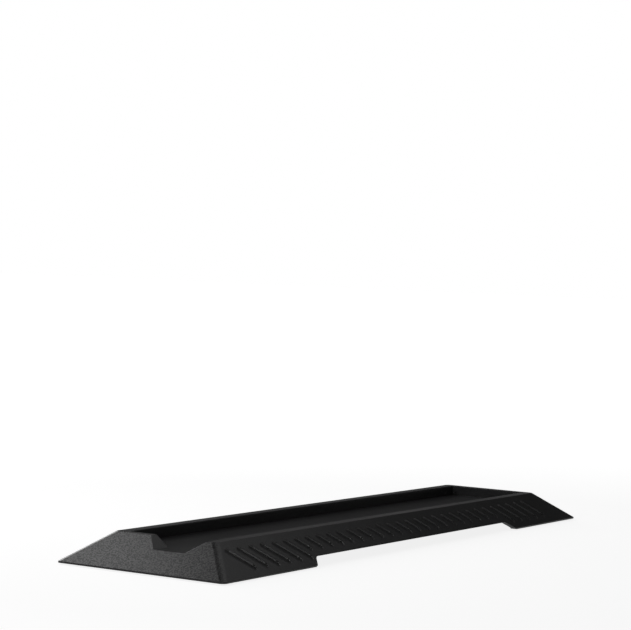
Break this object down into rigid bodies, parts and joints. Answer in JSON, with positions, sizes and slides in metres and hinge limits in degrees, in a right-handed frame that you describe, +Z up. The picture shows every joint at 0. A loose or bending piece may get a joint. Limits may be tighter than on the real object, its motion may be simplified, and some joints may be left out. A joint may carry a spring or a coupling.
{
  "type": "console vertical stand",
  "caption": "Long low moulded base with sloping grooved walls, a rimmed pocket that holds a slim console on its side edge, a front cut, side air gaps and anti-slip foot pads.",
  "frame": {"origin": "on the table, under the middle of the stand", "axes": "+X to the right seen from the front, +Y from the front with the cut to the rear, +Z up"},
  "size_m": [0.0838, 0.3338, 0.0139],
  "materials": {
    "moulded_black": "fine grained matte black",
    "pad_rubber": "matte black rubber"
  },
  "bodies": {
    "root": {"stand_body": "moulded_black", "foot_pad_front_left": "pad_rubber", "foot_pad_front_right": "pad_rubber", "foot_pad_rear_left": "pad_rubber", "foot_pad_rear_right": "pad_rubber"}
  },
  "joints": []
}
